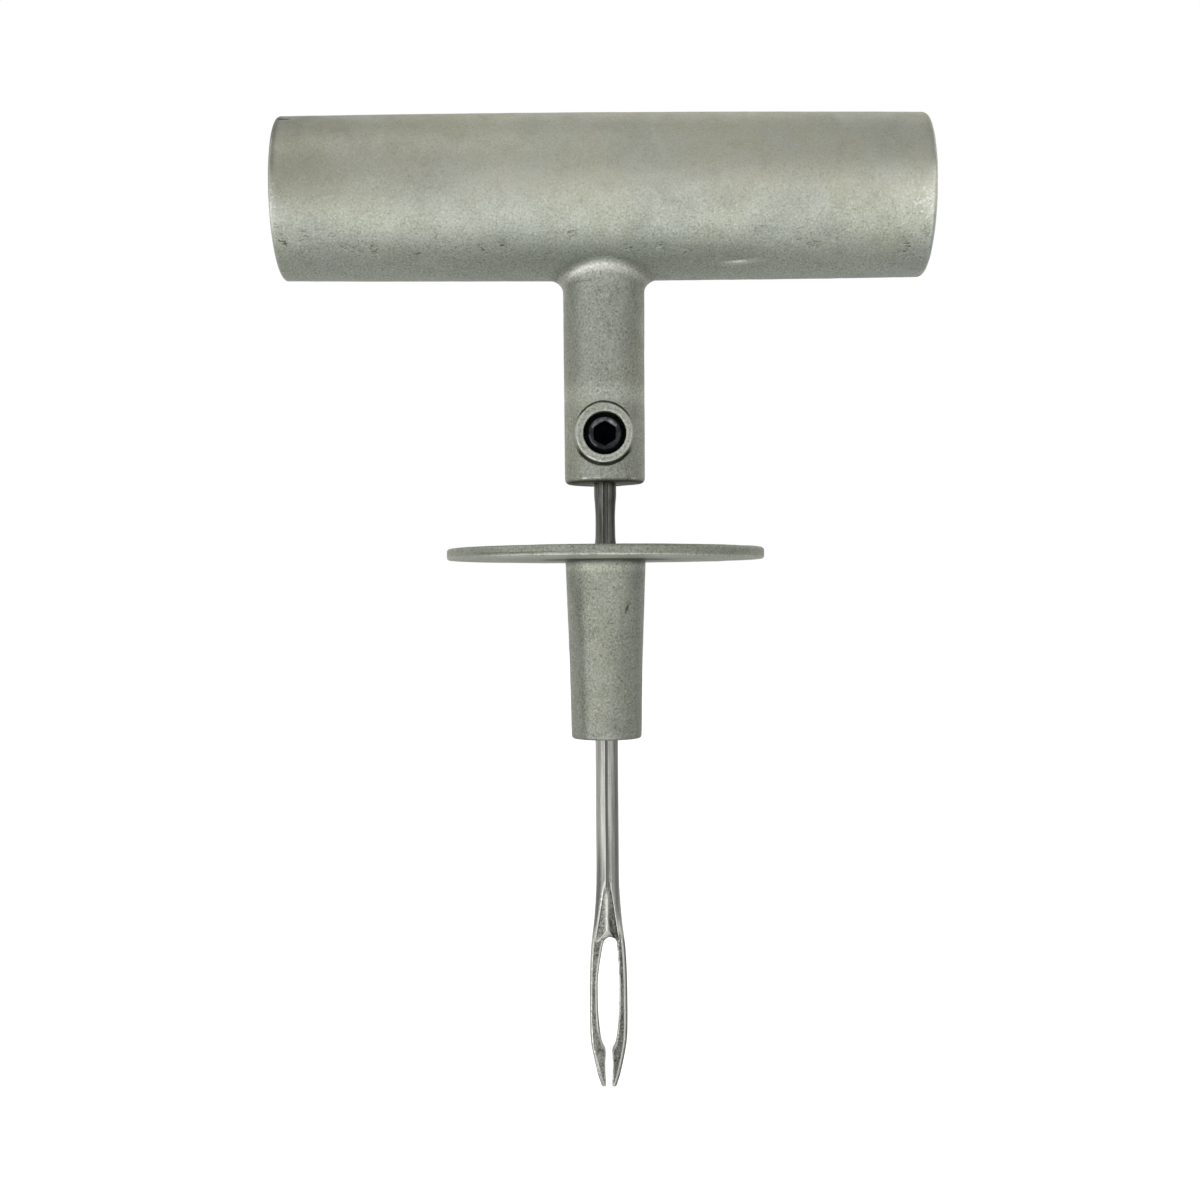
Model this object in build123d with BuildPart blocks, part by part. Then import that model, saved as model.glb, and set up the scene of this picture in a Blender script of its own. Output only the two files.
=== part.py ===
from build123d import *
import os

os.makedirs("parts", exist_ok=True)

# ---------------------------------------------------------------------------
# T-handled plug-insertion tool: a die-cast T handle, a split-eye needle
# clamped in its stem by a socket set screw, and a loose depth-stop collar
# that runs on the needle.  Millimetres.  +Z runs up the needle towards the
# handle, the needle's two tips stand at z = 0, the handle bar lies along X
# and the set screw faces -Y.
# ---------------------------------------------------------------------------

# --- handle bar -------------------------------------------------------------
bar_z = 138.0            # height of the bar's axis
bar_half = 49.75         # half the bar's length
bar_r_mid = 12.8         # bar radius at the middle
bar_r_end = 12.50        # bar radius at each end (casting draft)
bar_rim = 0.7            # rounding of each end rim
bar_bore_r = 9.8         # cored hole in each end
bar_web = 6.0            # half thickness of the solid web between the cores
bar_bore_floor = 2.0     # rounding at the bottom of each core
bar_bore_mouth = 0.6     # bevel at each mouth

# --- stem -------------------------------------------------------------------
stem_z0 = 93.4           # underside of the stem
stem_r_low = 6.22        # stem radius at the underside
stem_r_top = 6.42        # stem radius at the bar
stem_edge = 0.9          # rounding of the lower edge
stem_root = 2.4          # fillet into the bar

# --- screw boss and tapped hole ---------------------------------------------
boss_z = 100.8           # height of the set screw's axis
boss_r = 4.5             # radius of the boss's flat face
boss_face = 6.90         # distance of the face from the needle axis
boss_taper = 18.0        # draft of the boss's wall, degrees
tap_r = 3.225            # wall of the tapped hole (thread not cut)

# --- needle socket ----------------------------------------------------------
socket_r = 1.80
socket_top = 117.0

# --- set screw, 1/4 in - 20, 5 mm long, 1/8 in hexagon socket ---------------
screw_r = 3.175
screw_len = 5.00
screw_face = 6.33        # distance of its outer end from the needle axis
screw_hex = 3.175        # across flats
screw_hex_depth = 2.3
screw_chamfer = 0.40
cup_r = 1.9
cup_depth = 0.45

# --- needle -----------------------------------------------------------------
shank_r = 1.76           # shank below the waist
waist_r = 1.55           # waist between the collar and the stem
head_r = 1.75            # head held in the socket
head_z0 = 91.8           # foot of the head, just under the stem
waist_z0 = 84.8          # foot of the waist
waist_z1 = 89.2          # top of the waist
needle_top = 115.5
flat_y = 1.30            # distance of the screw flat from the axis
flat_z0 = 95.0
groove_w = 0.62          # V groove down the front and the back
groove_d = 0.38
eye_start = 31.3         # height where the shank starts to spread

# --- collar: flange and sleeve in one casting -------------------------------
flange_r = 24.6
flange_z0 = 81.68
flange_z1 = 83.53
flange_rim = 0.85
sleeve_z0 = 54.0
sleeve_r_low = 5.45
sleeve_r_top = 6.25
sleeve_edge = 0.5
sleeve_root = 0.8
collar_bore_r = 2.25


# ===========================================================================
# T handle: bar, stem and screw boss in one casting
# ===========================================================================
with BuildPart() as t_handle:
    # bar, slightly barrelled towards its middle
    with BuildSketch(Plane.XZ) as bar_profile:
        with BuildLine():
            Line((-bar_half, bar_z), (-bar_half, bar_z + bar_r_end))
            ThreePointArc(
                (-bar_half, bar_z + bar_r_end),
                (0, bar_z + bar_r_mid),
                (bar_half, bar_z + bar_r_end),
            )
            Line((bar_half, bar_z + bar_r_end), (bar_half, bar_z))
            Line((bar_half, bar_z), (-bar_half, bar_z))
        make_face()
        rims = bar_profile.vertices().group_by(Axis.X)
        fillet([rims[0].sort_by(Axis.Y)[-1], rims[-1].sort_by(Axis.Y)[-1]], bar_rim)
    revolve(axis=Axis((0, 0, bar_z), (1, 0, 0)))

    # stem, a slim cone hanging from the bar
    with BuildSketch(Plane.XZ) as stem_profile:
        with BuildLine():
            Polyline(
                (0, stem_z0),
                (stem_r_low, stem_z0),
                (stem_r_top, bar_z),
                (0, bar_z),
                close=True,
            )
        make_face()
        fillet(stem_profile.vertices().sort_by(Axis.Y)[:2].sort_by(Axis.X)[-1:], stem_edge)
    revolve(axis=Axis.Z)
    root_edges = t_handle.edges().filter_by(
        lambda e: e.bounding_box().max.X < stem_r_top + 0.1
        and e.bounding_box().min.X > -stem_r_top - 0.1
        and e.bounding_box().max.Y < stem_r_top + 0.1
        and e.bounding_box().min.Y > -stem_r_top - 0.1
        and e.bounding_box().min.Z > bar_z - bar_r_mid - 0.5
        and e.bounding_box().max.Z < bar_z - 8
    )
    fillet(root_edges, stem_root)

    # flat round boss for the set screw, drafted down into the stem
    with BuildSketch(Plane.XZ.offset(boss_face)):
        with Locations((0, boss_z)):
            Circle(boss_r)
    extrude(amount=-(boss_face - 2.5), taper=-boss_taper)
    boss_rim = (
        t_handle.edges()
        .filter_by(GeomType.CIRCLE)
        .filter_by(lambda e: abs(e.center().Y + boss_face) < 0.01)
    )
    fillet(boss_rim, 0.15)

    # cored ends of the bar
    with BuildSketch(Plane.XZ) as core_profile:
        with BuildLine():
            Polyline(
                (bar_web, bar_z),
                (bar_web, bar_z + bar_bore_r),
                (bar_half + 1, bar_z + bar_bore_r),
                (bar_half + 1, bar_z),
                close=True,
            )
        make_face()
        fillet(core_profile.vertices().group_by(Axis.X)[0].sort_by(Axis.Y)[-1:], bar_bore_floor)
        mirror(about=Plane.YZ)
    revolve(axis=Axis((0, 0, bar_z), (1, 0, 0)), mode=Mode.SUBTRACT)
    mouths = (
        t_handle.edges()
        .filter_by(GeomType.CIRCLE)
        .filter_by(lambda e: abs(abs(e.center().X) - bar_half) < 0.01 and abs(e.radius - bar_bore_r) < 0.01)
    )
    chamfer(mouths, bar_bore_mouth)

    # needle socket, drilled up the stem, with a cone at its end
    with BuildSketch(Plane.XZ):
        with BuildLine():
            Polyline(
                (0, stem_z0 - 1),
                (socket_r + 0.35, stem_z0 - 1),
                (socket_r + 0.35, stem_z0),
                (socket_r, stem_z0 + 0.35),
                (socket_r, socket_top),
                (0, socket_top + 0.9),
                close=True,
            )
        make_face()
    revolve(axis=Axis.Z, mode=Mode.SUBTRACT)

    # tapped hole from the boss through to the socket, with a bevelled mouth
    with BuildSketch(Plane.XZ.offset(boss_face + 1)):
        with Locations((0, boss_z)):
            Circle(tap_r)
    extrude(amount=-(boss_face + 1), mode=Mode.SUBTRACT)
    mouth = (
        t_handle.edges()
        .filter_by(GeomType.CIRCLE)
        .filter_by(lambda e: abs(e.center().Y + boss_face) < 0.01 and abs(e.radius - tap_r) < 0.01)
    )
    chamfer(mouth, 0.2)

t_handle.part.label = "t_handle"
export_step(t_handle.part, "parts/t_handle.step")


# ===========================================================================
# Set screw: headless, hexagon socket outside, cup point on the needle's flat
# ===========================================================================
with BuildPart() as set_screw:
    with BuildSketch(Plane.XZ.offset(screw_face)):
        with Locations((0, boss_z)):
            Circle(screw_r)
    extrude(amount=-screw_len)
    ends = set_screw.edges().filter_by(GeomType.CIRCLE)
    chamfer(ends, screw_chamfer)
    with BuildSketch(Plane.XZ.offset(screw_face)):
        with Locations((0, boss_z)):
            RegularPolygon(screw_hex / 2, 6, major_radius=False, rotation=30)
    extrude(amount=-screw_hex_depth, mode=Mode.SUBTRACT)
    # cup point
    with BuildSketch(Plane.YZ):
        with BuildLine():
            Polyline(
                (-(screw_face - screw_len), boss_z),
                (-(screw_face - screw_len), boss_z + cup_r),
                (-(screw_face - screw_len) - cup_depth, boss_z),
                close=True,
            )
        make_face()
    revolve(axis=Axis((0, 0, boss_z), (0, 1, 0)), mode=Mode.SUBTRACT)

set_screw.part.label = "set_screw"
export_step(set_screw.part, "parts/set_screw.step")


# ===========================================================================
# Needle: round shank with a groove front and back, spread into a split eye
# ===========================================================================
# sections of the eye (height, half width, half depth)
eye_sections = [
    (0.0, 1.10, 0.62),
    (1.9, 1.70, 0.95),
    (4.3, 2.22, 1.24),
    (7.4, 2.74, 1.42),
    (11.0, 2.92, 1.50),
    (15.2, 2.92, 1.50),
    (19.7, 2.76, 1.50),
    (23.4, 2.42, 1.50),
    (27.0, 2.05, 1.58),
    (30.5, 1.84, 1.70),
    (33.0, 1.76, 1.74),
]
# inner edge of the slot, from the tip up to the top of the eye (x, z)
slot_tip = [(0.46, -1.0), (0.46, 0.6), (0.56, 2.2), (0.57, 3.6), (0.50, 4.9), (0.48, 5.4), (0.86, 6.25)]
slot_side = [(0.86, 6.25), (1.22, 7.4), (1.46, 10.0), (1.59, 12.8), (1.60, 15.6), (1.46, 19.5), (1.30, 21.2), (1.04, 22.5), (0.62, 23.2), (0.0, 23.45)]


with BuildPart() as needle:
    # head, waist and shank
    with BuildSketch(Plane.XZ):
        with BuildLine():
            Polyline(
                (0, 30.0),
                (shank_r, 30.0),
                (shank_r, waist_z0 - 1.2),
                (waist_r, waist_z0),
                (waist_r, waist_z1),
                (head_r, head_z0),
                (head_r, needle_top - 0.5),
                (head_r - 0.5, needle_top),
                (0, needle_top),
                close=True,
            )
        make_face()
    revolve(axis=Axis.Z)
    # eye, spreading below the shank and closing again to the tips
    for z, half_width, half_depth in eye_sections:
        with BuildSketch(Plane.XY.offset(z)):
            RectangleRounded(2 * half_width, 2 * half_depth, 0.92 * min(half_width, half_depth))
    loft()
    # open slot with its two inward barbs
    with BuildSketch(Plane.XZ):
        with BuildLine():
            Polyline((0, -1.0), *slot_tip)
            Spline(*slot_side)
            Line(slot_side[-1], (0, -1.0))
        make_face()
        mirror(about=Plane.YZ)
    extrude(amount=4, both=True, mode=Mode.SUBTRACT)
    # V grooves down the front and the back of the shank
    for side in (-1, 1):
        with BuildSketch(Plane.XY.offset(22.0)):
            with BuildLine():
                Polyline(
                    (0, side * (shank_r - groove_d)),
                    (-groove_w, side * (shank_r + groove_d)),
                    (groove_w, side * (shank_r + groove_d)),
                    close=True,
                )
            make_face()
        extrude(amount=needle_top - 22.0 - 1.0, mode=Mode.SUBTRACT)
        # funnel that opens from the groove into the eye
        with BuildSketch(Plane.XZ.offset(-side * 1.75)):
            with BuildLine():
                Polyline((0, eye_start), (1.25, 21.6), (-1.25, 21.6), close=True)
            make_face()
        extrude(amount=side * 1.1, taper=24, mode=Mode.SUBTRACT)
    # flat for the set screw
    with BuildSketch(Plane.XY.offset(flat_z0)):
        with Locations((0, -flat_y - 2)):
            Rectangle(8, 4)
    extrude(amount=needle_top - flat_z0 + 1, mode=Mode.SUBTRACT)

needle.part.label = "needle"
export_step(needle.part, "parts/needle.step")


# ===========================================================================
# Collar: wide thin flange on a tapered sleeve, free on the needle
# ===========================================================================
with BuildPart() as collar:
    with BuildSketch(Plane.XZ) as collar_profile:
        with BuildLine():
            Polyline(
                (collar_bore_r, sleeve_z0),
                (sleeve_r_low, sleeve_z0),
                (sleeve_r_top, flange_z0),
                (flange_r, flange_z0),
                (flange_r, flange_z1),
                (collar_bore_r, flange_z1),
                close=True,
            )
        make_face()
        corners = collar_profile.vertices()
        rim = corners.group_by(Axis.X)[-1]
        fillet(rim, flange_rim)
        low = collar_profile.vertices().filter_by(lambda v: abs(v.X - sleeve_r_low) < 0.01 and abs(v.Y - sleeve_z0) < 0.01)
        fillet(low, sleeve_edge)
        root = collar_profile.vertices().filter_by(lambda v: abs(v.X - sleeve_r_top) < 0.01)
        fillet(root, sleeve_root)
        bore_ends = collar_profile.vertices().filter_by(lambda v: abs(v.X - collar_bore_r) < 0.01)
        chamfer(bore_ends, 0.35)
    revolve(axis=Axis.Z)

collar.part.label = "collar"
export_step(collar.part, "parts/collar.step")
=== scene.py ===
import bpy
import math
import numpy as np
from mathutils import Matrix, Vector


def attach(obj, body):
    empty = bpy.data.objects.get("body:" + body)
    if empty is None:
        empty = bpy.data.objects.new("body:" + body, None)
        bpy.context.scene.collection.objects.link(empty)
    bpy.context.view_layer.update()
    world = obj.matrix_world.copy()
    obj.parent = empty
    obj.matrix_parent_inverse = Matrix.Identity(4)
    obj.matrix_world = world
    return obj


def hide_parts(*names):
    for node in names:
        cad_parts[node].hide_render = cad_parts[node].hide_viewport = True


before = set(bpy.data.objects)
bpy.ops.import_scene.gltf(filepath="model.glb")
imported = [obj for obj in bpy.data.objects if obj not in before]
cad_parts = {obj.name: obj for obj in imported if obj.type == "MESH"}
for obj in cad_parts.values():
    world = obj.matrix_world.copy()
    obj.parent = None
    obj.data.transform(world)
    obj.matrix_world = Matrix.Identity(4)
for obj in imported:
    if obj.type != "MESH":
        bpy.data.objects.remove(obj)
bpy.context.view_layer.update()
MM = 0.001

# ---------------------------------------------------------------------------
# small numeric kit: smooth noise, rounded unions, surface nets
# ---------------------------------------------------------------------------


def _hash(ix, iy, iz, seed):
    h = (ix * 374761393 + iy * 668265263 + iz * 1442695041 + seed * 974634777) & 0xFFFFFFFF
    h = ((h ^ (h >> 13)) * 1274126177) & 0xFFFFFFFF
    h = (h ^ (h >> 16)) & 0xFFFFFFFF
    return h.astype(np.float64) / 2147483647.5 - 1.0


def noise(x, y, z, scale, seed=0):
    """Smooth value noise in -1..1; scale is the size of its cells, in mm."""
    px, py, pz = np.broadcast_arrays(x / scale + 71.3, y / scale + 37.9, z / scale + 19.1)
    ix, iy, iz = (np.floor(v).astype(np.int64) for v in (px, py, pz))
    fx, fy, fz = px - ix, py - iy, pz - iz
    ux, uy, uz = (f * f * f * (f * (f * 6 - 15) + 10) for f in (fx, fy, fz))
    out = 0.0
    for a in (0, 1):
        wx = ux if a else 1 - ux
        for b in (0, 1):
            wy = uy if b else 1 - uy
            for c in (0, 1):
                wz = uz if c else 1 - uz
                out = out + wx * wy * wz * _hash(ix + a, iy + b, iz + c, seed)
    return out


def r_union(a, b, r):
    """Union of two distances with a concave fillet of radius r between them."""
    u, v = np.maximum(r - a, 0), np.maximum(r - b, 0)
    return np.maximum(r, np.minimum(a, b)) - np.sqrt(u * u + v * v)


def r_inter(a, b, r):
    """Intersection of two distances with an edge rounded to radius r."""
    u, v = np.maximum(r + a, 0), np.maximum(r + b, 0)
    return np.minimum(-r, np.maximum(a, b)) + np.sqrt(u * u + v * v)


def corner(qx, qy, r):
    """Distance to a quarter plane qx < 0, qy < 0 whose corner is rounded to r."""
    ux, uy = np.maximum(qx + r, 0), np.maximum(qy + r, 0)
    return np.sqrt(ux * ux + uy * uy) + np.minimum(np.maximum(qx + r, qy + r), 0) - r


def smooth(e0, e1, v):
    t = np.clip((v - e0) / (e1 - e0), 0, 1)
    return t * t * (3 - 2 * t)


def lines(*spans):
    """Grid lines from spans of (start, end, step)."""
    out = [spans[0][0]]
    for a, b, h in spans:
        n = max(1, int(round((b - a) / h)))
        out += list(np.linspace(a, b, n + 1)[1:])
    return np.array(out)


def surface_nets(fn, xs, ys, zs):
    """Quad mesh of fn = 0 on a rectilinear grid, each vertex then walked onto the surface."""
    F = np.empty((len(xs), len(ys), len(zs)), np.float32)
    Y, Z = np.meshgrid(ys, zs, indexing="ij")
    for i, x in enumerate(xs):
        F[i] = fn(np.full_like(Y, x), Y, Z)
    inside = F < 0
    nx, ny, nz = F.shape
    count = np.zeros((nx - 1, ny - 1, nz - 1), np.uint8)
    for i in (0, 1):
        for j in (0, 1):
            for k in (0, 1):
                count += inside[i : nx - 1 + i, j : ny - 1 + j, k : nz - 1 + k]
    active = (count > 0) & (count < 8)
    index = np.full(active.shape, -1, np.int64)
    cells = np.argwhere(active)
    index[active] = np.arange(len(cells))
    ci, cj, ck = cells.T
    total = np.zeros((len(cells), 3))
    hits = np.zeros(len(cells))
    grid = (xs, ys, zs)
    for axis in range(3):
        for p in (0, 1):
            for q in (0, 1):
                a, b = [0, 0, 0], [0, 0, 0]
                o1, o2 = [o for o in range(3) if o != axis]
                a[o1] = b[o1] = p
                a[o2] = b[o2] = q
                b[axis] = 1
                fa = F[ci + a[0], cj + a[1], ck + a[2]]
                fb = F[ci + b[0], cj + b[1], ck + b[2]]
                hit = (fa < 0) != (fb < 0)
                t = np.where(hit, fa / np.where(hit, fa - fb, 1), 0)
                pos = []
                for o, c in enumerate((ci, cj, ck)):
                    va, vb = grid[o][c + a[o]], grid[o][c + b[o]]
                    pos.append(va + t * (vb - va))
                total += np.where(hit[:, None], np.stack(pos, 1), 0)
                hits += hit
    P = total / hits[:, None]
    quads = []
    for axis in range(3):
        o1, o2 = (axis + 1) % 3, (axis + 2) % 3
        sl0, sl1 = [slice(None)] * 3, [slice(None)] * 3
        sl0[axis], sl1[axis] = slice(0, -1), slice(1, None)
        s0, s1 = inside[tuple(sl0)], inside[tuple(sl1)]
        edges = np.argwhere(s0 != s1)
        keep = (
            (edges[:, o1] > 0)
            & (edges[:, o2] > 0)
            & (edges[:, o1] < F.shape[o1] - 1)
            & (edges[:, o2] < F.shape[o2] - 1)
        )
        edges = edges[keep]
        out = s0[tuple(edges.T)]
        ring = []
        for d1, d2 in ((-1, -1), (0, -1), (0, 0), (-1, 0)):
            c = edges.copy()
            c[:, o1] += d1
            c[:, o2] += d2
            ring.append(index[tuple(c.T)])
        ring = np.stack(ring, 1)
        ring[~out] = ring[~out][:, ::-1]
        quads.append(ring)
    quads = np.concatenate(quads)
    N = None
    for step in range(4):
        f = fn(*P.T)
        N = gradient(fn, P, 0.02)
        size = (N * N).sum(1)
        move = -(f / np.maximum(size, 0.2))[:, None] * N
        far = np.sqrt((move * move).sum(1))
        move *= np.minimum(1, 0.15 / np.maximum(far, 1e-9))[:, None]
        P = P + move
    N = gradient(fn, P, 0.03)
    N /= np.maximum(np.sqrt((N * N).sum(1)), 1e-9)[:, None]
    return P, quads, N


def gradient(fn, P, h):
    x, y, z = P.T
    return np.stack(
        [
            fn(x + h, y, z) - fn(x - h, y, z),
            fn(x, y + h, z) - fn(x, y - h, z),
            fn(x, y, z + h) - fn(x, y, z - h),
        ],
        1,
    ) / (2 * h)


def make_object(name, P, quads, normals=None, material=None, marks=None):
    mesh = bpy.data.meshes.new(name)
    mesh.from_pydata((P * MM).tolist(), [], [list(map(int, q)) for q in quads])
    mesh.validate()
    mesh.polygons.foreach_set("use_smooth", [True] * len(mesh.polygons))
    mesh.update()
    for key, values in (marks or {}).items():
        layer = mesh.attributes.new(key, "FLOAT", "POINT")
        layer.data.foreach_set("value", np.broadcast_to(values, len(P)).astype(np.float32))
    if normals is not None and len(mesh.vertices) == len(normals):
        mesh.normals_split_custom_set_from_vertices([tuple(n) for n in normals])
    ob = bpy.data.objects.new(name, mesh)
    bpy.context.scene.collection.objects.link(ob)
    if material is not None:
        mesh.materials.append(material)
    return ob


def bend(fn, P, h):
    """Sharpness of the surface at P: positive on outside edges, negative in corners."""
    x, y, z = P.T
    total = fn(x + h, y, z) + fn(x - h, y, z) + fn(x, y + h, z) + fn(x, y - h, z) + fn(x, y, z + h) + fn(x, y, z - h)
    return (total - 6 * fn(x, y, z)) / (h * h)


def curve_table(points, n=600):
    """Dense table of a monotone-ish smooth curve through (z, value) points."""
    z, v = np.array(points, float).T
    m = np.gradient(v, z)
    d = np.diff(v) / np.diff(z)
    for i in range(1, len(z) - 1):
        m[i] = 0 if d[i - 1] * d[i] <= 0 else 2 * d[i - 1] * d[i] / (d[i - 1] + d[i])
    zz = np.linspace(z[0], z[-1], n)
    k = np.clip(np.searchsorted(z, zz) - 1, 0, len(z) - 2)
    h = z[k + 1] - z[k]
    t = (zz - z[k]) / h
    out = (
        (2 * t**3 - 3 * t**2 + 1) * v[k]
        + (t**3 - 2 * t**2 + t) * h * m[k]
        + (-2 * t**3 + 3 * t**2) * v[k + 1]
        + (t**3 - t**2) * h * m[k + 1]
    )
    return zz, out


# ---------------------------------------------------------------------------
# T handle: one casting, as a distance field in millimetres
# ---------------------------------------------------------------------------
BAR_Z, BAR_HALF = 138.0, 49.75
BOSS_Z, BOSS_FACE = 100.8, 6.87

# knocks in the skin: (x, z, depth, half length, half height, tilt)
KNOCKS = (
    (20.3, 127.1, 0.26, 3.1, 0.50, 0.05),
    (-48.0, 148.75, 0.15, 0.9, 0.42, 0.0),
    (45.2, 129.0, 0.07, 0.9, 0.6, 0.4),
    (-27.0, 127.4, 0.05, 3.5, 0.7, 0.1),
)
# places where small casting pores cluster: (x, z, half length, half height, tilt)
PORES = (
    (-48.2, 129.9, 0.45, 1.5, -0.25),
    (48.4, 130.4, 0.40, 1.2, 0.2),
    (-45.0, 130.6, 0.55, 0.95, 0.3),
    (-43.4, 129.8, 0.45, 0.35, 0.2),
    (-38.9, 128.8, 0.9, 0.45, 0.6),
    (-36.8, 128.1, 1.15, 0.55, 0.75),
    (-34.5, 128.6, 0.5, 0.6, 0.3),
    (-28.4, 127.9, 0.55, 0.35, 0.0),
    (-24.8, 130.6, 0.45, 0.75, 0.2),
    (-17.8, 128.4, 1.1, 0.55, 0.8),
    (-15.0, 128.9, 0.55, 0.5, 0.3),
    (-8.4, 127.9, 0.5, 0.35, 0.1),
    (-4.6, 130.5, 0.45, 0.75, 0.1),
    (3.9, 128.3, 0.95, 0.45, 0.7),
    (6.0, 128.8, 0.7, 0.5, 0.8),
    (8.7, 128.6, 0.6, 0.45, 0.3),
    (12.2, 128.1, 0.5, 0.4, 0.0),
    (23.2, 130.9, 0.45, 0.8, 0.1),
    (29.0, 129.8, 0.5, 0.5, 0.4),
    (31.4, 128.7, 0.6, 0.4, 0.2),
    (45.4, 128.2, 0.8, 0.8, 0.3),
)


def spots(x, z, table):
    out = 0.0
    for cx, cz, a, b, tilt in table:
        u = ((x - cx) - tilt * (z - cz)) / (a * 1.45)
        v = ((z - cz) + tilt * (x - cx)) / (b * 1.30)
        out = np.maximum(out, np.exp(-(u * u + v * v)))
    return out


def knocks(x, y, z):
    out = 0.0
    for cx, cz, depth, a, b, tilt in KNOCKS:
        u = ((x - cx) + tilt * (z - cz)) / a
        v = ((z - cz) - tilt * (x - cx)) / b
        # steeper on its lower lip than on its upper one
        v = v * np.where(v > 0, 0.5, 1.35)
        out = out + depth * np.exp(-(u * u + v * v))
    return np.where(y < 0, out, 0.0)


def bar_part(x, y, z):
    zb = z - BAR_Z
    rho = np.sqrt(y * y + zb * zb)
    R = 12.50 + 0.28 * (1 - (x / BAR_HALF) ** 2)
    rim = np.where(x < 0, 0.42, 0.80)
    return corner(rho - R, np.abs(x) - (BAR_HALF - 0.02), rim), rho


def post_part(x, y, z):
    r = np.sqrt(x * x + y * y)
    near = np.sqrt(y * y + (z - BAR_Z) ** 2) - 12.75
    flare = 0.30 * (np.clip(2.3 - near, 0, 2.6) / 2.3) ** 2
    rs = 6.235 + (z - 93.4) * 0.14 / 44.6 + flare
    foot = 93.43 + 0.05 * noise(x, y, z * 0, 3.0, 31) + 0.018 * np.maximum(x, -6)
    stem = corner(r - rs, np.maximum(foot, 93.41) - z, 0.80)
    stem = np.maximum(stem, z - BAR_Z)
    rb = np.sqrt(((x + 0.1) * 1.045) ** 2 + (z - BOSS_Z - 0.05) ** 2)
    depth = BOSS_FACE + y
    side = (rb - (4.52 + np.maximum(depth, 0) * 0.13)) * 0.985
    boss = corner(side, -y - BOSS_FACE, 0.12)
    boss = np.maximum(boss, y + 2.0)
    return r_union(stem, boss, 0.10)


def handle_field(x, y, z):
    bar, rho = bar_part(x, y, z)
    bar = bar + knocks(x, y, z)
    side = x * x / np.maximum(x * x + y * y, 1e-6)
    body = r_union(bar, post_part(x, y, z), 0.75 + 1.25 * side * side)
    # cored ends
    core = corner(rho - 9.8, 6.0 - np.abs(x), 2.0)
    body = r_inter(body, -core, 0.5)
    # needle socket
    r = np.sqrt(x * x + y * y)
    sock = np.maximum(r - 1.8 - np.maximum(0, 0.35 - (z - 93.4)), z - 117.0)
    body = r_inter(body, -sock, 0.10)
    # tapped hole
    rb = np.sqrt(x * x + (z - BOSS_Z) ** 2)
    tap = np.maximum(rb - 3.225 - np.maximum(0, 0.16 - (BOSS_FACE + y)), y)
    return r_inter(body, -tap, 0.06)


def handle_surface(x, y, z):
    """The casting with its tumbled skin: soft waviness, blast marks and pores."""
    skin = 0.036 + noise(x, y, z, 7.5, 3) * 0.014 + noise(x, y, z, 2.1, 5) * 0.011 + noise(x, y, z, 0.95, 7) * 0.008
    rb = np.sqrt(x * x + (z - BOSS_Z) ** 2)
    skin = skin * np.where((rb < 4.6) & (y < -5.5), 0.35, 1.0)
    pore = spots(x, z, PORES) * (0.03 + 0.05 * np.maximum(noise(x, y, z, 0.7, 9), 0)) * (y < -3)
    return handle_field(x, y, z) + skin + pore


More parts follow.
